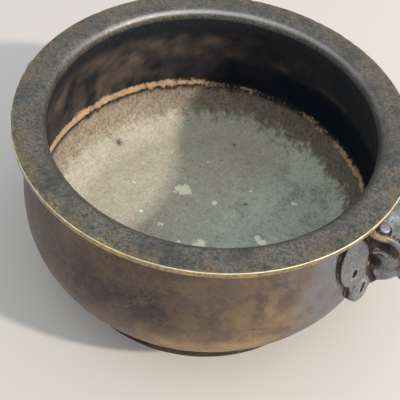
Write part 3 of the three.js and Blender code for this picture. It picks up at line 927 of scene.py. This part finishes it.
class Wiring:
    """Adds nodes to a node tree and gives back their outputs. Shared node groups are built once."""

    column_width = 190
    groups = {}

    def __init__(self, tree):
        self.tree = tree

    def node(self, kind, inputs=None, output=0, **settings):
        """A node of a kind, its settings, and its inputs as values or as other nodes' outputs."""
        made = self.tree.nodes.new(kind)
        made.location = (self.column_width * len(self.tree.nodes), 0)
        for name, value in settings.items():
            setattr(made, name, value)
        for socket, value in (inputs or {}).items():
            self.feed(made.inputs[socket], value)
        return made.outputs[output]

    def feed(self, socket, value):
        """Gives a socket a constant value or another node's output."""
        if isinstance(value, bpy.types.NodeSocket):
            self.tree.links.new(value, socket)
        else:
            socket.default_value = value

    def mask(self, name):
        """A mask stored on the mesh's points."""
        return self.node("ShaderNodeAttribute", attribute_name=name, output="Fac")

    def place(self, stretch=(1, 1, 1)):
        """The place on the object in metres, stretched along the axes."""
        here = self.node("ShaderNodeTexCoord", output="Object")
        return self.node("ShaderNodeVectorMath", {0: here, 1: stretch}, operation="MULTIPLY")

    def noise(self, place, scale, detail=3.0, roughness=0.55, distortion=0.0):
        """Cloudy noise from 0 to 1, with scale in features per metre."""
        values = {"Vector": place, "Scale": scale, "Detail": detail, "Roughness": roughness,
                  "Distortion": distortion}
        return self.node("ShaderNodeTexNoise", values, output="Fac")

    def cells(self, place, scale):
        """The distance to the nearest of many scattered points."""
        return self.node("ShaderNodeTexVoronoi", {"Vector": place, "Scale": scale}, output="Distance")

    def height(self):
        """The height on the object in metres."""
        here = self.node("ShaderNodeTexCoord", output="Object")
        return self.node("ShaderNodeSeparateXYZ", {0: here}, output="Z")

    def step(self, value, low, high, start=0.0, end=1.0):
        """A smooth change from start to end while the value goes from low to high."""
        values = {"Value": value, "From Min": low, "From Max": high, "To Min": start, "To Max": end}
        return self.node("ShaderNodeMapRange", values, interpolation_type="SMOOTHSTEP")

    def maths(self, operation, first, second):
        """Two values put together by an operation."""
        return self.node("ShaderNodeMath", {0: first, 1: second}, operation=operation)

    def turned(self, value, start, end):
        """A value of 0 to 1 turned smoothly into one of start to end."""
        return self.step(value, 0, 1, start, end)

    def sum(self, first, second):
        """First plus second."""
        return self.maths("ADD", first, second)

    def times(self, first, second):
        """First times second."""
        return self.maths("MULTIPLY", first, second)

    def most(self, first, second):
        """The larger of two values."""
        return self.maths("MAXIMUM", first, second)

    def mix(self, share, first, second):
        """The first colour turning into the second."""
        return self.node("ShaderNodeMix", {0: share, 6: opaque(first), 7: opaque(second)}, output=2,
                         data_type="RGBA")

    def coated(self, tone, *coats):
        """A colour under further coats, each a colour and the shares or masks whose product covers."""
        for paint, *shares in coats:
            cover = reduce(self.times, [self.mask(s) if isinstance(s, str) else s for s in shares])
            tone = self.mix(cover, tone, paint)
        return tone

    def between(self, share, first, second):
        """The first value turning into the second."""
        return self.node("ShaderNodeMix", {0: share, 2: first, 3: second}, output=0, data_type="FLOAT")

    def relief(self, height, distance, strength):
        """A normal bent by a height, where distance is in metres."""
        return self.node("ShaderNodeBump", {"Height": height, "Distance": distance, "Strength": strength})

    def group(self, maker, output, **inputs):
        """One output by its name, or several, of the node group that a function makes."""
        if maker.__name__ not in self.groups:
            self.groups[maker.__name__] = maker()
        made = self.tree.nodes.new("ShaderNodeGroup")
        made.node_tree = self.groups[maker.__name__]
        made.location = (self.column_width * len(self.tree.nodes), 0)
        for name, value in inputs.items():
            self.feed(made.inputs[name.capitalize()], value)
        return made.outputs[output] if isinstance(output, str) else [made.outputs[name] for name in output]


def opaque(value):
    """A colour of three values with its fourth, and anything else as it is."""
    if isinstance(value, bpy.types.NodeSocket):
        return value
    return (*value[:3], 1.0)


PATINA = ("Cloud", "Patch", "Mottle", "Speck", "Fleck")


def new_group(name, inputs, outputs):
    """A node group of values: its wiring, its inputs by name and its output node's inputs."""
    tree = bpy.data.node_groups.new(name, "ShaderNodeTree")
    for socket, value in inputs.items():
        made = tree.interface.new_socket(socket, in_out="INPUT", socket_type="NodeSocketFloat")
        made.default_value = value
    for socket in outputs:
        tree.interface.new_socket(socket, in_out="OUTPUT", socket_type="NodeSocketFloat")
    entry = tree.nodes.new("NodeGroupInput")
    leave = tree.nodes.new("NodeGroupOutput")
    return Wiring(tree), entry.outputs, leave.inputs


def patina_group():
    """Clouds, mottling, dark specks and pale flecks of an old bronze skin."""
    wiring, given, result = new_group("Bronze patina", {"Coarseness": 1.0}, PATINA)
    sized = wiring.node("ShaderNodeVectorMath", {0: wiring.place(), "Scale": given["Coarseness"]},
                        operation="SCALE")
    noise, step, times = wiring.noise, wiring.step, wiring.times
    skin = {
        "Cloud": step(noise(sized, 36, 5, 0.65, 0.6), 0.32, 0.68),
        "Patch": step(noise(sized, 120, 5, 0.65, 0.3), 0.38, 0.62),
        "Mottle": step(noise(sized, 560, 5, 0.8), 0.40, 0.60),
        "Speck": times(step(wiring.cells(sized, 520), 0.24, 0.10), step(noise(sized, 110, 2), 0.46, 0.62)),
        "Fleck": times(step(noise(sized, 850, 3, 0.8), 0.54, 0.66),
                       step(noise(sized, 120, 3, 0.6), 0.42, 0.60)),
    }
    for name, value in skin.items():
        wiring.feed(result[name], value)
    return wiring.tree


def rubbed_group():
    """Where wear breaks through in grains: a soft amount sharpened by noise."""
    wiring, given, result = new_group("Rubbed bronze", {"Amount": 0.5, "Grain": 1100.0}, ("Rubbed",))
    place = wiring.place()
    grain = wiring.noise(place, given["Grain"], 4, 0.75)
    broad = wiring.noise(place, 240, 3, 0.6)
    level = wiring.sum(given["Amount"], wiring.times(wiring.sum(grain, broad), 0.9))
    wiring.feed(result["Rubbed"], wiring.step(level, 1.16, 1.42))
    return wiring.tree


def deposit_group():
    """A crumbly deposit: a soft amount broken up at its edge, with its own height."""
    wiring, given, result = new_group("Crumbly deposit", {"Amount": 0.5, "Grain": 500.0, "Softness": 0.15},
                                      ("Deposit", "Height"))
    grain = wiring.noise(wiring.place(), given["Grain"], 5, 0.75, 0.3)
    level = wiring.sum(given["Amount"], wiring.step(grain, 0.25, 0.75, -0.45, 0.45))
    lower = wiring.maths("SUBTRACT", 0.5, given["Softness"])
    deposit = wiring.times(wiring.step(level, lower, wiring.sum(0.5, given["Softness"])),
                           wiring.step(given["Amount"], 0.0, 0.15))
    wiring.feed(result["Deposit"], deposit)
    wiring.feed(result["Height"], wiring.times(deposit, grain))
    return wiring.tree


def new_material(name):
    """An empty shader material, its wiring and its Principled shader."""
    material = bpy.data.materials.new(name)
    material.use_nodes = True
    shader = next(node for node in material.node_tree.nodes if node.type == "BSDF_PRINCIPLED")
    return material, Wiring(material.node_tree), shader


def connect(wiring, shader, **links):
    """Feeds values that change over the surface into the shader's sockets."""
    for socket, value in links.items():
        wiring.feed(shader.inputs[socket.replace("_", " ").title().replace("Ior", "IOR")], value)


# Heights in metres over which one finish gives way to the next: the foot's painted shade, and the rim's top
# into the inside
FOOT_SHADE_BAND = (0.0135, 0.0115)
RIM_BAND = (0.0884, 0.0902)


def outside_material(finish):
    """The bowl's outside: brown satin bronze with plum clouds, ochre below that is partly a painted
    reflection, a greyer left side that is partly a painted sheen, rubbed edges, a painted highlight on the
    rim's corner and painted shade on the foot.
    """
    material, wiring, shader = new_material("Vessel outside")
    cloud, patch, mottle, speck, fleck = wiring.group(patina_group, PATINA, coarseness=1.0)
    mask, turned = wiring.mask, wiring.turned
    cool = wiring.step(wiring.noise(wiring.place(), 75, 4, 0.6, 0.4), 0.50, 0.70)
    rubbed = wiring.group(rubbed_group, "Rubbed", amount=mask("wear"))
    spot = wiring.group(deposit_group, "Deposit", amount=mask("verdigris"))
    tone = wiring.coated(
        finish.brown,
        (finish.plum, cloud, 0.35),
        (finish.plum, wiring.sum(mask("plum"), turned(patch, -0.18, 0.16))),
        (finish.rim, cool, 0.40),
        # Ochre low on the belly: partly bronze, partly a painted reflection
        (finish.ochre_and_reflection, wiring.sum(mask("ochre_and_reflection"), turned(patch, -0.20, 0.12))),
        # Grey-blue bronze near the handles, and a painted sheen on the belly's left side
        (finish.steel, wiring.sum(mask("grey"), turned(patch, -0.25, 0.0))),
        (finish.steel, mottle, 0.16),
        (finish.plum, speck, 0.8),
        (finish.rim_pale, fleck, 0.20),
        (wiring.mix(mottle, finish.olive, finish.band), "band"),
        (finish.lip, "seam", turned(mottle, 0.5, 0.9)),
        (finish.gold, rubbed, 0.8),
        (finish.gold, "brink"),
        # Painted highlight on the rim's corner
        (finish.arris_highlight, "arris_highlight"),
        (finish.crust, spot),
        # Painted shade: the foot under the belly is darkened with plum
        (finish.plum, wiring.step(wiring.height(), *FOOT_SHADE_BAND), turned(patch, 0.85, 0.6)),
    )
    grain = wiring.noise(wiring.place(), 1800, 3, 0.7)
    rough = wiring.sum(wiring.between(mottle, 0.36, 0.48), wiring.times(grain, 0.06))
    # The painted highlight is barely metallic, so it stays bright from every side
    metal = wiring.between(mask("arris_highlight"), wiring.between(rubbed, 0.7, 0.95), 0.15)
    fine = wiring.sum(wiring.times(mottle, 0.5), wiring.times(grain, 0.5))
    connect(wiring, shader, base_color=tone, roughness=rough, metallic=metal,
            normal=wiring.relief(fine, 0.00008, 0.6))
    return material


def inside_material(finish):
    """The rim's top and the inside: grey-green rim, smoked wall, residue ring and corroded floor, with
    painted light on the lit side of the wall, residue and floor, painted shade on the soot band and on the
    brown band away from it, and painted highlights on the lip and the rim's corner.
    """
    material, wiring, shader = new_material("Vessel inside")
    _, patch, mottle, speck, fleck = patina = wiring.group(patina_group, PATINA, coarseness=1.3)
    mask, turned, height, place = wiring.mask, wiring.turned, wiring.height(), wiring.place()
    rubbed = wiring.group(rubbed_group, "Rubbed", amount=mask("wear"))
    rim = rim_tone(wiring, finish, patina, rubbed)
    # The brown band below the residue ring, with painted shade away from the lit side
    under_ring_brown = wiring.coated(
        finish.under_ring_brown,
        (finish.brown, patch, 0.6),
        (finish.ash, mottle, 0.4),
        # Painted shade: the brown band darkens away from the lit side
        (finish.wall_dark, turned(mask("painted_lit_side"), 0.5, 0.0)),
    )
    wall = wiring.coated(
        finish.wall_dark,
        (finish.rim_pale, mottle, 0.05),
        # Painted light on the wall's lit side
        (finish.lit_wall_brown, "painted_wall_light", turned(patch, 0.55, 1.0)),
        # Soot and painted shade low on the wall
        (finish.soot_and_shade, "soot_and_shade"),
        (finish.brown, "stain", 0.55),
        (under_ring_brown, "under_ring"),
    )
    slate = wiring.coated(
        finish.slate,
        (finish.ash, wiring.step(wiring.noise(place, 45, 5, 0.65), 0.42, 0.62), 0.8),
        (finish.rim, wiring.step(wiring.noise(place, 70, 5, 0.75), 0.46, 0.66), 0.6),
        # Painted light on the floor's lit side
        (finish.lit_floor_tint, "painted_lit_floor", 0.85),
        (finish.slate, patch, 0.40),
        (finish.ash, mottle, 0.50),
        (finish.verdigris, fleck, 0.6),
        (finish.rim, wiring.step(wiring.noise(place, 420, 4, 0.75), 0.54, 0.66), 0.28),
    )
    floor = wiring.group(deposit_group, "Deposit", amount=mask("floor"), grain=260.0, softness=0.45)
    ring, crumb = wiring.group(deposit_group, ("Deposit", "Height"), amount=mask("residue"),
                               grain=520.0, softness=0.35)
    spot, flake = wiring.group(deposit_group, ("Deposit", "Height"), amount=mask("verdigris"),
                               grain=420.0, softness=0.06)
    tone = wiring.coated(
        wall,
        (slate, floor),
        (rim, wiring.step(height, *RIM_BAND)),
        (wiring.coated(finish.residue, (under_ring_brown, patch, 0.4)), ring, 0.9),
        (finish.verdigris, spot),
        (finish.rim, speck, "floor", 0.6),
        (finish.plum, "pit"),
    )
    grain = wiring.noise(place, 1600, 3, 0.7)
    dry = wiring.most(mask("under_ring"), wiring.most(ring, spot))
    smooth = wiring.sum(wiring.between(mottle, 0.34, 0.46), wiring.times(grain, 0.06))
    smooth = wiring.between(mask("lip"), smooth, 0.30)
    smoked = wiring.step(height, *reversed(RIM_BAND))
    rough = wiring.between(dry, wiring.between(smoked, smooth, 0.62), 0.82)
    dull = wiring.most(mask("arris_highlight"), wiring.most(dry, smoked))
    metal = wiring.between(dull, wiring.between(rubbed, 0.45, 0.9), 0.0)
    gloss = wiring.between(smoked, 0.5, wiring.between(wiring.most(floor, mask("painted_wall_light")), 0.08, 0.4))
    fine = wiring.sum(wiring.times(grain, 0.4), wiring.sum(crumb, flake))
    fine = wiring.sum(wiring.times(mottle, 0.5), fine)
    connect(wiring, shader, base_color=tone, roughness=rough, metallic=metal,
            normal=wiring.relief(fine, 0.00012, 0.7), specular_ior_level=gloss)
    return material


def rim_tone(wiring, finish, patina, rubbed):
    """The rim's colour: mottled grey-green, an olive film and fine scratches that run outward, with painted
    highlights on the lip's far side and on the corner.
    """
    cloud, patch, mottle, speck, fleck = patina
    outward = wiring.node("ShaderNodeVectorMath", {0: wiring.place((1, 1, 0))}, operation="NORMALIZE")
    spread = wiring.node("ShaderNodeVectorMath", {0: outward, 1: (0.09,) * 3, 2: wiring.place((0.2,) * 3)},
                         operation="MULTIPLY_ADD")
    scratch = wiring.times(wiring.step(wiring.noise(spread, 1100, 3, 0.7), 0.55, 0.68),
                           wiring.step(wiring.noise(wiring.place(), 90, 3, 0.6), 0.42, 0.62))
    film = wiring.sum(wiring.times(wiring.mask("olive"), 0.9), 0.06)
    return wiring.coated(
        finish.rim,
        (finish.rim_pale, wiring.turned(mottle, 0.04, 0.56)),
        (finish.rim, cloud, 0.7),
        (finish.brown, patch, 0.35),
        (finish.olive, film, patch, mottle),
        (finish.rim_pale, fleck, 0.75),
        (finish.rim_pale, scratch, 0.5),
        (finish.rim, speck, 0.7),
        # Painted highlight on the lip's far side
        (finish.lip, "lip", 0.6),
        (finish.gold, rubbed, 0.8),
        # Painted highlight on the rim's corner
        (finish.arris_highlight, "arris_highlight"),
    )


def handle_material(finish):
    """The heads: grey-blue bronze, dark in the hollows with painted shade in the pockets, crease and lobe
    sides, golden on what is rubbed, crusted on top, with a painted highlight on the eye rings.
    """
    material, wiring, shader = new_material("Handle bronze")
    cloud, patch, mottle, speck, fleck = wiring.group(patina_group, PATINA, coarseness=1.6)
    mask, turned, times = wiring.mask, wiring.turned, wiring.times
    crumbs = wiring.step(wiring.noise(wiring.place(), 900, 4, 0.8), 0.48, 0.62)
    crust = wiring.group(deposit_group, "Deposit", amount=mask("crust"), grain=420.0)
    joint = wiring.group(deposit_group, "Deposit", amount=times(mask("joint"), 0.6), grain=520.0)
    hollow = wiring.step(wiring.sum(mask("hollow"), times(mottle, 0.12)), 0.05, 0.42)
    # Painted shade joins the dark patina of the hollows
    hollow = wiring.most(hollow, times(mask("painted_shade"), turned(mottle, 1.0, 0.8)))
    rubbed = wiring.group(rubbed_group, "Rubbed", amount=times(mask("raised"), 0.30))
    rubbed = wiring.most(rubbed, times(mask("eyelid"), turned(mottle, 0.9, 0.5)))
    tone = wiring.coated(
        finish.blue,
        (finish.brown, cloud, 0.35),
        (finish.rim, patch, 0.35),
        (finish.rim, mottle, 0.4),
        (finish.crumb, fleck, 0.7),
        (finish.crumb, crumbs, turned(mask("bloom"), 0.08, 0.45)),
        (wiring.coated(finish.crust, (finish.crumb, crumbs, 0.45)), crust, 0.85),
        # Dark patina in the hollows, with painted shade
        (finish.hollow, hollow),
        (finish.eyelid, rubbed),
        (finish.gold, "edge", 0.75),
        (finish.crumb, "curl", 0.6),
        (finish.lip, "ring", crumbs, 0.75),
        (finish.eye, "eye"),
        # Painted highlight on the eye's ring
        (finish.lip, "rim", 0.7),
        (finish.crumb, joint, 0.6),
        (finish.plum, speck, 0.6),
    )
    grain = wiring.noise(wiring.place(), 1600, 3, 0.7)
    rough = wiring.sum(wiring.between(mottle, 0.40, 0.54), times(hollow, 0.2))
    rough = wiring.between(mask("eye"), rough, 0.32)
    metal = wiring.between(rubbed, wiring.between(hollow, 0.6, 0.3), 0.95)
    fine = wiring.sum(times(mottle, 0.6), times(grain, 0.5))
    connect(wiring, shader, base_color=tone, roughness=rough, metallic=metal,
            normal=wiring.relief(fine, 0.0001, 0.7))
    return material


def floor_material(stage):
    """The plain pale floor."""
    material, _, shader = new_material("Pale floor")
    shader.inputs["Base Color"].default_value = opaque(stage.floor_colour)
    shader.inputs["Roughness"].default_value = 0.9
    return material


# Operators


class CENSER_OT_vessel(bpy.types.Operator):
    """Build the vessel: bowl, rim and foot in one turned surface with its dents and deposits"""

    bl_idname = "censer.vessel"
    bl_label = "Build Vessel"

    def execute(self, context):
        scene = context.scene
        sizes = in_mm(scene.censer_vessel)
        sides = scene.censer_vessel.sides
        profile = section(sizes)
        points, faces = turned_surface(profile, sides)
        masks = vessel_masks(points, sizes)
        deposit, masks["seam"] = joint_deposit(points, sizes, in_mm(scene.censer_handle))
        masks["verdigris"] = np.maximum(masks["verdigris"], deposit)
        piece = mesh_piece("vessel_bronze", points, faces, masks)
        points = points + point_normals(piece) * vessel_relief(points, masks, sizes)[:, None]
        move_points(piece, points)
        for make in (outside_material, inside_material):
            piece.data.materials.append(make(scene.censer_finish))
        rim_top = int(np.argmax(profile[:, 1] >= sizes.height - 1e-6))
        slots = (np.arange(len(faces)) // sides >= rim_top - 1).astype(int)
        # The last two rings of faces close the underside and the floor
        slots[-2 * sides:-sides] = 0
        piece.data.polygons.foreach_set("material_index", slots)
        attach(piece, "root")
        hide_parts("vessel")
        return {"FINISHED"}


# Where the pale deposit lies under a handle, and how far it spreads round the wall and up it
JOINT_DEPOSIT = SimpleNamespace(around=29.5, rise=-19, width=1.5, tall=5, amount=0.75)


def joint_deposit(points, s, handle):
    """The pale deposit on the wall along each handle's lower edge, and the pale line round its lobes."""
    radius, azimuth, height = turned_place(points)
    rise = height - s.height + handle.drop
    outside = on_outside(points, s)
    deposit = np.zeros(len(points))
    seam = np.zeros(len(points))
    for middle in (0, 180):
        around = radians(1) * turn_gap(azimuth, middle) * radius
        patch = bump(around - JOINT_DEPOSIT.around, JOINT_DEPOSIT.width)
        patch *= JOINT_DEPOSIT.amount * bump(rise - JOINT_DEPOSIT.rise, JOINT_DEPOSIT.tall)
        deposit = np.maximum(deposit, patch)
        nearest = np.full(len(points), FAR)
        for place, level, reach, stretch, *_ in LOBES[:4]:
            nearest = np.minimum(nearest, np.hypot(around - place, (rise - level) / stretch) - reach)
        seam = np.maximum(seam, 0.8 * bump(nearest - 0.9, 0.5) * (around > 14))
    return deposit * outside, seam * outside


class CENSER_OT_handles(bpy.types.Operator):
    """Build both beast-head handles from one sculpted form"""

    bl_idname = "censer.handles"
    bl_label = "Build Handles"

    def execute(self, context):
        scene = context.scene
        form = HandleForm(in_mm(scene.censer_vessel), in_mm(scene.censer_handle))
        points, quads, masks = handle_surface(form)
        material = handle_material(scene.censer_finish)
        for name, half_turn in (("handle_right", 1), ("handle_left", -1)):
            placed = points * (half_turn, half_turn, 1)
            piece = mesh_piece(f"{name}_bronze", placed, quads.tolist(), masks)
            piece.data.materials.append(material)
            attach(piece, "root")
            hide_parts(name)
        return {"FINISHED"}


class CENSER_OT_stage(bpy.types.Operator):
    """Set the pale floor, the soft lights and the camera"""

    bl_idname = "censer.stage"
    bl_label = "Set Stage"

    def execute(self, context):
        scene = context.scene
        stage = scene.censer_stage
        corners = np.array([(-1, -1, 0), (1, -1, 0), (1, 1, 0), (-1, 1, 0)]) * stage.floor_size / MM
        floor = mesh_piece("floor", corners, [(0, 1, 2, 3)])
        floor.location.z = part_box("vessel")[0][2]
        floor.data.materials.append(floor_material(stage))

        world = bpy.data.worlds.new("Soft light")
        world.use_nodes = True
        sky = world.node_tree.nodes["Background"]
        wiring = Wiring(world.node_tree)
        direction = wiring.node("ShaderNodeTexCoord", output="Generated")
        upward = wiring.node("ShaderNodeSeparateXYZ", {0: direction}, output="Z")
        tone = wiring.mix(wiring.step(upward, 0.0, 0.8), stage.horizon_colour, stage.zenith_colour)
        world.node_tree.links.new(tone, sky.inputs["Color"])
        sky.inputs["Strength"].default_value = stage.sky_strength
        scene.world = world
        scene.view_settings.view_transform = "Standard"

        panel = bpy.data.lights.new("Key panel", "AREA")
        panel.shape = "SQUARE"
        panel.size = stage.key_size
        panel.energy = stage.key_power
        panel.color = stage.key_colour
        key = bpy.data.objects.new("Key panel", panel)
        flat = stage.key_distance * cos(stage.key_height)
        key.location = (flat * cos(stage.key_azimuth), flat * sin(stage.key_azimuth),
                        stage.key_distance * sin(stage.key_height))
        key.rotation_euler = key.location.to_track_quat("Z", "Y").to_euler()
        context.collection.objects.link(key)

        lens = bpy.data.cameras.new("Camera")
        lens.sensor_width = 36.0
        lens.lens = stage.lens
        camera = bpy.data.objects.new("Camera", lens)
        camera.location = stage.camera_place
        camera.rotation_euler = Euler(stage.camera_turn)
        context.collection.objects.link(camera)
        scene.camera = camera
        return {"FINISHED"}


class CENSER_PT_panel(bpy.types.Panel):
    """The censer's sizes, colours and builders"""

    bl_idname = "CENSER_PT_panel"
    bl_label = "Bronze Censer"
    bl_space_type = "VIEW_3D"
    bl_region_type = "UI"
    bl_category = "Censer"

    def draw(self, context):
        layout = self.layout
        for operator in OPERATORS:
            layout.operator(operator.bl_idname)
        for group in GROUPS:
            box = layout.box()
            box.label(text=group.title())
            settings = getattr(context.scene, f"censer_{group}")
            for name in settings.__annotations__:
                box.prop(settings, name)


OPERATORS = (CENSER_OT_stage, CENSER_OT_vessel, CENSER_OT_handles)
GROUPS = {"vessel": CenserVesselSizes, "handle": CenserHandleSizes, "finish": CenserFinish,
          "stage": CenserStage}


def register():
    for kind in (*GROUPS.values(), *OPERATORS, CENSER_PT_panel):
        bpy.utils.register_class(kind)
    for group, kind in GROUPS.items():
        setattr(bpy.types.Scene, f"censer_{group}", PointerProperty(type=kind))


def unregister():
    for group in GROUPS:
        delattr(bpy.types.Scene, f"censer_{group}")
    for kind in reversed((*GROUPS.values(), *OPERATORS, CENSER_PT_panel)):
        bpy.utils.unregister_class(kind)


def main():
    register()
    bpy.ops.censer.stage()
    bpy.ops.censer.vessel()
    bpy.ops.censer.handles()


if __name__ == "__main__":
    main()
